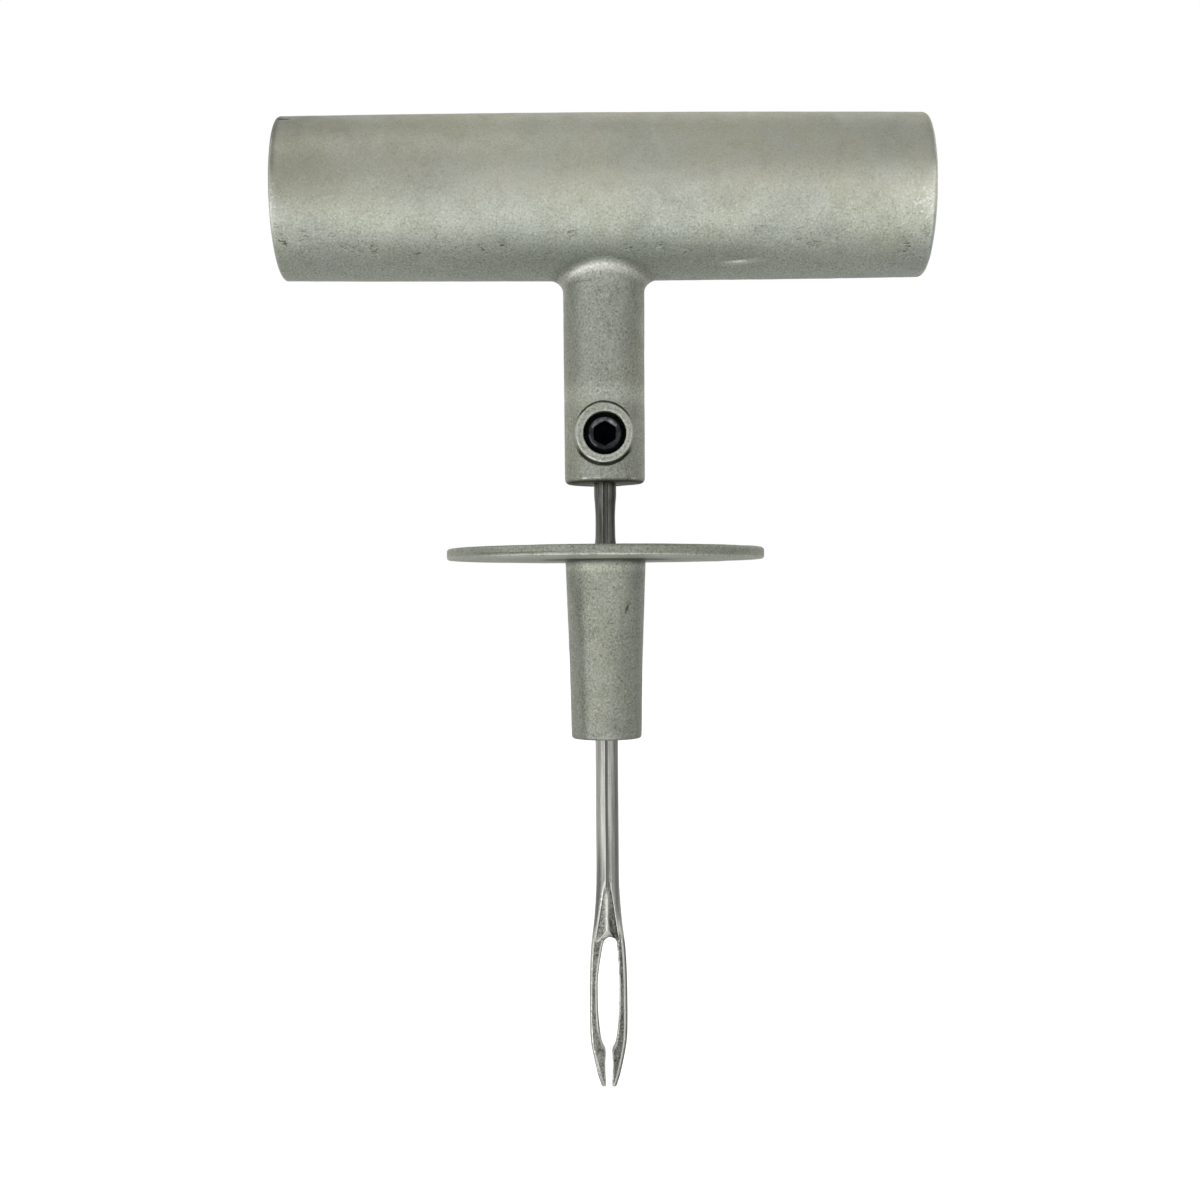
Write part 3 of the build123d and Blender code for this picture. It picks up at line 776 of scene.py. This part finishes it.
def steel_material(name):
    m = Nodes(name)
    streak = m.noise(1.0, 5, 0.62, source=m.scaled(3200, 3200, 130))
    long = m.noise(1.0, 3, 0.5, source=m.scaled(1100, 1100, 35))
    speck = m.noise(3600.0, 4, 0.68)
    cloud = m.noise(420.0, 3, 0.6)
    flat, wear_and_highlight, shade_and_marks = attribute(m, "flat"), attribute(m, "wear_and_highlight"), attribute(m, "shade_and_marks")
    bright = m.mix(m.remap(streak, 0.36, 0.64), (0.42, 0.425, 0.40), (0.78, 0.78, 0.75))
    bright = m.mix(m.remap(long, 0.40, 0.62, 0.0, 0.5), bright, (0.66, 0.66, 0.63))
    scale = m.mix(m.remap(speck, 0.40, 0.62), (0.075, 0.078, 0.070), (0.36, 0.365, 0.335))
    scale = m.mix(m.remap(cloud, 0.50, 0.64, 0.0, 0.4), scale, (0.40, 0.405, 0.375))
    # the part above the collar is darker
    z = m.axis("Z")
    darker_top = m.math("MULTIPLY", m.remap(z, 0.0826, 0.0842), m.remap(cloud, 0.30, 0.65, 0.95, 0.70))
    bright = m.mix(m.math("MULTIPLY", darker_top, 0.92), bright, m.mix(m.remap(streak, 0.40, 0.60), (0.13, 0.135, 0.120), (0.30, 0.305, 0.28)))
    base = m.mix(flat, bright, scale)
    base = m.mix(1.0, base, attribute(m, "tone_and_painted_light"), blend="MULTIPLY")
    # worn edges with painted highlights, then painted shade and shadow in the groove and the eye, with dark marks
    base = m.mix(m.math("MULTIPLY", wear_and_highlight, 0.95), base, (0.93, 0.93, 0.91))
    base = m.mix(m.math("MULTIPLY", shade_and_marks, 0.85), base, (0.085, 0.088, 0.08))
    m.link(base, m.bsdf.inputs["Base Color"])
    m.bsdf.inputs["Metallic"].default_value = 1.0
    rough = m.remap(m.math("ADD", m.math("MULTIPLY", streak, 0.6), m.math("MULTIPLY", long, 0.4)), 0.35, 0.65, 0.22, 0.34)
    rough = m.math("ADD", rough, m.math("MULTIPLY", flat, 0.20))
    rough = m.math("SUBTRACT", rough, m.math("MULTIPLY", wear_and_highlight, 0.08))
    m.link(rough, m.bsdf.inputs["Roughness"])
    h = m.math("ADD", m.math("MULTIPLY", streak, 0.5), m.math("MULTIPLY", speck, m.remap(flat, 0.0, 1.0, 0.25, 1.6)))
    m.link(m.bump(h, 0.00004, 0.9), m.bsdf.inputs["Normal"])
    return m.mat


def oxide_material(name):
    m = Nodes(name)
    worn = m.noise(1500.0, 4, 0.65)
    base = m.mix(m.remap(worn, 0.50, 0.72), (0.0075, 0.0080, 0.0115), (0.030, 0.031, 0.038))
    # painted highlights on the socket's edge and the face ring
    base = m.mix(m.math("MULTIPLY", attribute(m, "wear_and_highlight"), m.remap(worn, 0.38, 0.60, 0.25, 1.0)), base, (0.36, 0.365, 0.40))
    # painted shade down inside the socket
    base = m.mix(attribute(m, "shade_and_marks"), base, (0.0012, 0.0016, 0.0030))
    m.link(base, m.bsdf.inputs["Base Color"])
    m.bsdf.inputs["Metallic"].default_value = 0.75
    m.link(m.remap(worn, 0.4, 0.7, 0.24, 0.40), m.bsdf.inputs["Roughness"])
    m.link(m.remap(attribute(m, "shade_and_marks"), 0.0, 1.0, 0.4, 0.02), m.bsdf.inputs["Specular IOR Level"])
    m.link(m.bump(m.noise(5200.0, 3, 0.6), 0.00003, 0.7), m.bsdf.inputs["Normal"])
    return m.mat


CAST = cast_material("cast_handle_finish", True)
CAST2 = cast_material("cast_collar_finish", False)
STEEL = steel_material("needle_steel_finish")
OXIDE = oxide_material("black_screw_finish")

# ---------------------------------------------------------------------------
# pieces
# ---------------------------------------------------------------------------
hx = lines((-50.05, -48.65, 0.20), (-48.65, -8.2, 0.66), (-8.2, 8.2, 0.28), (8.2, 48.65, 0.66), (48.65, 50.05, 0.20))
hy = lines((-13.3, -7.2, 0.44), (-7.2, -4.2, 0.20), (-4.2, 6.6, 0.45), (6.6, 13.3, 0.66))
hz = lines((92.9, 106.4, 0.21), (106.4, 123.0, 0.42), (123.0, 130.5, 0.32), (130.5, 151.5, 0.52))
P, Q, N = surface_nets(handle_surface, hx, hy, hz)
handle = make_object("cast_t_handle", P, Q, N, CAST, handle_marks(P, N))
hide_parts("t_handle")
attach(handle, "handle")
print("handle quads", len(Q))

nx = lines((-3.25, 3.25, 0.095))
ny = lines((-1.99, 1.99, 0.095))
nz = lines((-0.3, 33.0, 0.13), (33.0, 83.0, 0.5), (83.0, 96.0, 0.3), (96.0, 114.5, 0.6), (114.5, 115.9, 0.2))
P, Q, N = surface_nets(needle_surface, nx, ny, nz)
needle = make_object("split_eye_needle", P, Q, N, STEEL, needle_marks(P, N))
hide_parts("needle")
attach(needle, "needle")
print("needle quads", len(Q))


def lathe(profile, segments):
    """Closed profile of (r, z) points turned about Z; returns points and quads."""
    prof = np.array(profile, float)
    n = len(prof)
    t = np.linspace(0, 2 * math.pi, segments, endpoint=False)
    P = np.stack(
        [
            np.outer(np.cos(t), prof[:, 0]),
            np.outer(np.sin(t), prof[:, 0]),
            np.tile(prof[:, 1], (segments, 1)),
        ],
        -1,
    ).reshape(-1, 3)
    quads = []
    for s in range(segments):
        a, b = s * n, ((s + 1) % segments) * n
        for i in range(n):
            j = (i + 1) % n
            quads.append((a + i, b + i, b + j, a + j))
    return P, quads


def rounded(points, radii, step=0.12):
    """Closed outline with each corner rounded to its radius, sampled evenly."""
    pts = [np.array(p, float) for p in points]
    n = len(pts)
    out = []
    for i in range(n):
        p, a, b = pts[i], pts[i - 1], pts[(i + 1) % n]
        r = radii[i]
        da, db = (a - p) / np.linalg.norm(a - p), (b - p) / np.linalg.norm(b - p)
        if r <= 0:
            out.append(p)
            continue
        half = math.acos(max(-1, min(1, float(da @ db)))) / 2
        cut = r / math.tan(half)
        c = p + (da + db) / np.linalg.norm(da + db) * (r / math.sin(half))
        s, e = p + da * cut - c, p + db * cut - c
        ang = math.acos(max(-1, min(1, float(s @ e) / (r * r))))
        m = max(3, int(ang * r / step) + 3)
        for k in range(m + 1):
            f = k / m
            v = math.sin((1 - f) * ang) * s + math.sin(f * ang) * e
            out.append(c + v / math.sin(ang))
    dense = []
    for i in range(len(out)):
        a, b = out[i], out[(i + 1) % len(out)]
        d = np.linalg.norm(b - a)
        if d < 1e-6:
            continue
        m = max(1, int(math.ceil(d / (0.09 if min(a[0], b[0]) > 24.0 else 0.32 if 5.0 < min(a[0], b[0]) and max(a[0], b[0]) < 6.5 else 0.8))))
        for k in range(m):
            dense.append(a + (b - a) * k / m)
    return dense


profile = rounded(
    [(2.25, 54.03), (5.43, 54.03), (5.50, 56.0), (5.56, 60.0), (5.74, 67.7), (6.03, 75.5), (6.27, 81.71), (24.56, 81.71), (24.56, 83.50), (2.25, 83.50)],
    [0.30, 0.55, 6.0, 12.0, 12.0, 12.0, 0.40, 0.42, 0.50, 0.30],
    0.10,
)
SEG = 240
P, Q = lathe(profile, SEG)
x, y, z = P.T
r = np.hypot(x, y)
th = np.arctan2(y, x)
prof_n = np.array(profile)
tang = np.roll(prof_n, -1, 0) - np.roll(prof_n, 1, 0)
nrm = np.stack([tang[:, 1], -tang[:, 0]], 1)
nrm /= np.linalg.norm(nrm, axis=1)[:, None]
nr, nz_ = np.tile(nrm[:, 0], SEG), np.tile(nrm[:, 1], SEG)
skin = 0.036 + noise(x, y, z, 5.0, 21) * 0.013 + noise(x, y, z, 1.7, 23) * 0.011 + noise(x, y, z, 0.8, 25) * 0.008
skin = skin + np.maximum(noise(x, y, z * 0.4, 2.6, 27) - 0.2, 0) * 0.05 * smooth(23.6, 24.4, r)
# ragged chamfer along the lower edge of the flange's front
chip = smooth(-19.0, -15.0, x) * smooth(13.0, 8.0, x) * (y < 0)
ledge = chip * (0.10 + 0.07 * noise(x, y, z * 0.3, 1.3, 29) + 0.05 * noise(x, y, z, 0.45, 30)) * smooth(82.40, 82.12, z) * smooth(23.6, 24.3, r)
skin = skin + np.maximum(ledge, 0)
gouge = np.exp(-(((x - 3.3 - 0.35 * (z - 74.2)) / 0.19) ** 2) - ((z - 74.2) / 0.70) ** 2) * 0.14 * (y < 0)
skin = np.where(r < 3.0, 0.0, skin + gouge)
P = P - np.stack([np.cos(th) * nr, np.sin(th) * nr, nz_], 1) * skin[:, None]
# painted highlight along the rim's lower edge, strongest on the front
high = 82.32 - 0.20 * smooth(-10.0, 15.0, x)
rim_highlight = smooth(high, high - 0.2, z) * (r > 23.2) * (0.35 + 0.75 * chip * (0.75 + 0.5 * noise(x, y, z, 1.1, 33)))
foot_wear = np.exp(-((z - 54.2) / 0.25) ** 2) * (r > 4.9) * 0.6
# painted shade under the flange, at the sleeve's root
root = smooth(11.5, 8.5, r) * smooth(81.22, 81.42, z) * (z < 82.5)
streak = np.exp(-((x + 3.95 - (72.0 - z) * 0.03) / 0.55) ** 2) * smooth(80.0, 74.0, z) * (y < 0)
# tone: a darker streak down the sleeve, and painted light and shade: a painted highlight band at the sleeve's top,
# lighter above and darker below at the front middle, darker to the right, the rim's upper band darker, the flange's
# underside and lower rim lighter
tone_and_painted_light = 1.0 - 0.26 * streak
tone_and_painted_light = tone_and_painted_light * (1 + 0.46 * smooth(79.4, 80.5, z) * smooth(81.15, 80.8, z) * (r < 6.6) + 0.10 * smooth(76.5, 79.5, z) * (r < 6.6))
tone_and_painted_light = tone_and_painted_light * (1 + (0.12 * smooth(70.0, 75.0, z) - 0.12 * smooth(74.0, 69.0, z)) * np.exp(-((x - 2.0) / 1.7) ** 2) * (r < 6.6) * (y < 0)) * (1 - 0.10 * smooth(4.0, 5.0, x) * (r < 6.6))
tone_and_painted_light = np.where((r > 24.0) & (z > 82.3), 0.90, tone_and_painted_light)
tone_and_painted_light = np.where((r > 7.6) & (z < 82.0), 1.30 + 0.25 * smooth(13.0, 18.0, r), tone_and_painted_light)
line = np.exp(-((z - 82.40) / 0.07) ** 2) * (r > 24.0) * smooth(-20.0, -17.0, x) * smooth(-5.0, -8.0, x) * (y < 0)
collar = make_object(
    "depth_stop_collar", P, Q, None, CAST2,
    {"wear_and_highlight": np.clip(rim_highlight + foot_wear, 0, 1), "shade_and_marks": np.clip(root * 0.92 + gouge * 9 + line * 0.7, 0, 1), "tone_and_painted_light": tone_and_painted_light},
)
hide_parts("collar")
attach(collar, "collar")
print("collar quads", len(Q))


def screw_mesh():
    """Headless socket screw along Y: threaded barrel, cup point, hexagon socket."""
    seg = 120
    face, tip = -6.32, -1.34
    major, minor, pitch = 3.165, 2.50, 1.27
    th = np.linspace(0, 2 * math.pi, seg, endpoint=False)
    rings = []

    def ring(y, r):
        rr = np.full(seg, r) if np.isscalar(r) else r
        yy = np.full(seg, y) if np.isscalar(y) else y
        rings.append(np.stack([rr * np.cos(th), yy, BOSS_Z + rr * np.sin(th)], 1))

    hexa = (3.175 / 2) / np.cos((th + math.pi / 6) % (math.pi / 3) - math.pi / 6)
    # drill point and walls of the socket, from the bottom outwards
    ring(face + 2.9, 0.02)
    ring(face + 2.62, 0.7)
    ring(face + 2.32, hexa * 0.90)
    ring(face + 2.30, hexa * 0.995)
    for k in range(6):
        ring(face + 2.2 - k * 0.36, hexa)
    ring(face + 0.30, hexa)
    ring(face + 0.24, hexa * 1.008)
    cone = np.maximum(hexa * 1.04, 1.78)
    ring(face + 0.16 - 0.0 * th, hexa * 0.55 + cone * 0.45)
    ring(face + 0.07, np.maximum(cone, 1.86))
    ring(face + 0.015, 1.98)
    ring(face, 2.06)
    ring(face, 2.22)
    ring(face + 0.012, 2.34)
    ring(face + 0.06, 2.42)
    ring(face + 0.14, 2.50)
    # threaded barrel, running out at both ends
    for y in np.arange(face + 0.20, tip - 0.25, 0.075):
        phase = ((y - face) / pitch + th / (2 * math.pi)) % 1.0
        tri = np.abs(phase * 2 - 1)
        prof = np.clip((tri - 0.13) / 0.74, 0, 1)
        prof = prof * prof * (3 - 2 * prof) * 0.35 + prof * 0.65
        r = minor + (major - minor) * prof
        r = np.minimum(r, 2.50 + (y - face - 0.14) * 1.05)
        r = np.minimum(r, 2.62 + (tip - y) * 1.1)
        ring(y, r)
    ring(tip - 0.16, 2.62)
    ring(tip - 0.04, 2.45)
    ring(tip, 2.30)
    ring(tip, 2.05)
    ring(tip - 0.12, 1.75)
    ring(tip - 0.42, 0.6)
    ring(tip - 0.47, 0.02)
    P = np.concatenate(rings)
    quads = []
    for k in range(len(rings) - 1):
        for s in range(seg):
            a, b = k * seg + s, k * seg + (s + 1) % seg
            quads.append((a, b, b + seg, a + seg))
    n = len(P)
    last = (len(rings) - 1) * seg
    P = np.vstack([P, [[0, face + 2.905, BOSS_Z]], [[0, tip - 0.475, BOSS_Z]]])
    for s in range(seg):
        quads.append((n, (s + 1) % seg, s))
        quads.append((n + 1, last + s, last + (s + 1) % seg))
    return P, quads


P, Q = screw_mesh()
x, y, z = P.T
rr = np.hypot(x, z - BOSS_Z)
turn = np.degrees(np.arctan2(z - BOSS_Z, x))


def sector(centre, half):
    gap = np.abs((turn - centre + 180) % 360 - 180)
    return smooth(half, half * 0.5, gap)


# painted highlights on the socket's edge and the face ring, strongest on the upper side
upper = 1.30 * sector(52, 26) + 0.85 * sector(138, 22) + 0.45 * sector(95, 30)
lower = 0.55 * sector(212, 34)
top_edge = (y < -6.02) * (np.exp(-((rr - 1.96) / 0.20) ** 2) * (0.12 + upper) + np.exp(-((rr - 2.34) / 0.14) ** 2) * (0.10 + lower + 0.4 * sector(95, 60)))
crest = smooth(2.98, 3.15, rr) * 0.35
# painted shade down inside the socket
sunk = smooth(-6.20, -5.95, y) * (rr < 1.95) * (y < -3.3)
screw = make_object("socket_set_screw", P, Q, None, OXIDE, {"wear_and_highlight": np.clip(top_edge + crest, 0, 1), "shade_and_marks": sunk})
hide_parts("set_screw")
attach(screw, "screw")
for ob in (screw, collar):
    import bmesh
    bm = bmesh.new()
    bm.from_mesh(ob.data)
    bmesh.ops.recalc_face_normals(bm, faces=bm.faces)
    bm.to_mesh(ob.data)
    bm.free()

# ---------------------------------------------------------------------------
# stage: floor, surroundings, light, camera
# ---------------------------------------------------------------------------
scene = bpy.context.scene
scene.view_settings.view_transform = "Standard"
scene.view_settings.look = "None"
scene.view_settings.exposure = 0.0
scene.view_settings.gamma = 1.0

floor_mesh = bpy.data.meshes.new("floor")
s = 3.0
floor_mesh.from_pydata([(-s, -s, -0.0236), (s, -s, -0.0236), (s, s, -0.0236), (-s, s, -0.0236)], [], [(0, 1, 2, 3)])
floor = bpy.data.objects.new("floor", floor_mesh)
scene.collection.objects.link(floor)
fm = bpy.data.materials.new("floor_paper")
fm.use_nodes = True
nt = fm.node_tree
nt.nodes.clear()
o = nt.nodes.new("ShaderNodeOutputMaterial")
add = nt.nodes.new("ShaderNodeAddShader")
em = nt.nodes.new("ShaderNodeEmission")
em.inputs["Color"].default_value = (1, 1, 1, 1)
em.inputs["Strength"].default_value = 0.62
df = nt.nodes.new("ShaderNodeBsdfDiffuse")
df.inputs["Color"].default_value = (0.9, 0.9, 0.9, 1)
nt.links.new(em.outputs[0], add.inputs[0])
nt.links.new(df.outputs[0], add.inputs[1])
nt.links.new(add.outputs[0], o.inputs[0])
floor_mesh.materials.append(fm)
floor.visible_diffuse = False
floor.visible_glossy = False
floor.visible_transmission = False
floor.visible_shadow = False

world = bpy.data.worlds.new("studio")
scene.world = world
world.use_nodes = True
wt = world.node_tree
wt.nodes.clear()
wo = wt.nodes.new("ShaderNodeOutputWorld")


def wmath(op, a, b=None, clamp=False):
    n = wt.nodes.new("ShaderNodeMath")
    n.operation = op
    n.use_clamp = clamp
    for i, v in enumerate((a, b)):
        if v is None:
            continue
        if isinstance(v, (int, float)):
            n.inputs[i].default_value = v
        else:
            wt.links.new(v, n.inputs[i])
    return n.outputs[0]


wc = wt.nodes.new("ShaderNodeTexCoord").outputs["Generated"]


def lobe(azimuth, elevation, power, amount):
    a, e = math.radians(azimuth), math.radians(elevation)
    n = wt.nodes.new("ShaderNodeVectorMath")
    n.operation = "DOT_PRODUCT"
    wt.links.new(wc, n.inputs[0])
    n.inputs[1].default_value = (math.sin(a) * math.cos(e), -math.cos(a) * math.cos(e), math.sin(e))
    c = wmath("MAXIMUM", n.outputs["Value"], 0.0)
    return wmath("MULTIPLY", wmath("POWER", c, float(power)), amount)


# soft boxes of a plain studio: (azimuth, elevation, tightness, brightness);
# azimuth 0 is the side the set screw faces, negative is to its left
SOFT_BOXES = (
    ((1.0, 1.0, 0.90), 0.0, ((-60, 55, 14, 1.143), (120, 30, 14, 0.704), (-90, 30, 14, 0.55), (-60, 30, 14, 0.183), (180, 50, 14, 0.35))),
    ((1.0, 1.0, 0.975), 0.36, ((-60, -20, 60, 2.402), (-40, -20, 60, 1.18), (-50, -20, 60, 0.302), (30, 10, 14, 0.551), (-150, 10, 14, 0.462),
                               (-30, 10, 14, 0.455), (0, -10, 14, 0.40), (150, 10, 14, 0.281), (60, 10, 14, 0.251), (-120, 10, 14, 0.222))),
    ((0.97, 1.01, 0.97), 0.0, ((0, -50, 14, 0.893), (30, -30, 14, 0.275))),
)
shaders = []
for colour, even, boxes in SOFT_BOXES:
    total = even
    for box in boxes:
        total = wmath("ADD", total, lobe(*box))
    node = wt.nodes.new("ShaderNodeBackground")
    node.inputs["Color"].default_value = (*colour, 1)
    wt.links.new(total, node.inputs["Strength"])
    shaders.append(node.outputs[0])
while len(shaders) > 1:
    node = wt.nodes.new("ShaderNodeAddShader")
    wt.links.new(shaders.pop(), node.inputs[0])
    wt.links.new(shaders.pop(), node.inputs[1])
    shaders.insert(0, node.outputs[0])
bg_cam = wt.nodes.new("ShaderNodeBackground")
bg_cam.inputs["Color"].default_value = (1, 1, 1, 1)
bg_cam.inputs["Strength"].default_value = 1.0
lp = wt.nodes.new("ShaderNodeLightPath")
wm = wt.nodes.new("ShaderNodeMixShader")
wt.links.new(lp.outputs["Is Camera Ray"], wm.inputs[0])
wt.links.new(shaders[0], wm.inputs[1])
wt.links.new(bg_cam.outputs[0], wm.inputs[2])
wt.links.new(wm.outputs[0], wo.inputs[0])


cam_data = bpy.data.cameras.new("camera")
D = 0.264
cam_data.sensor_width = 36.0
cam_data.lens = 36.0 * 1700.0 / 1200.0
cam = bpy.data.objects.new("camera", cam_data)
scene.collection.objects.link(cam)
cam.location = (-0.0009, -D, 0.0755)
cam.rotation_euler = (math.radians(90), math.radians(0.40), 0)
cam_data.clip_start = 0.01
scene.camera = cam
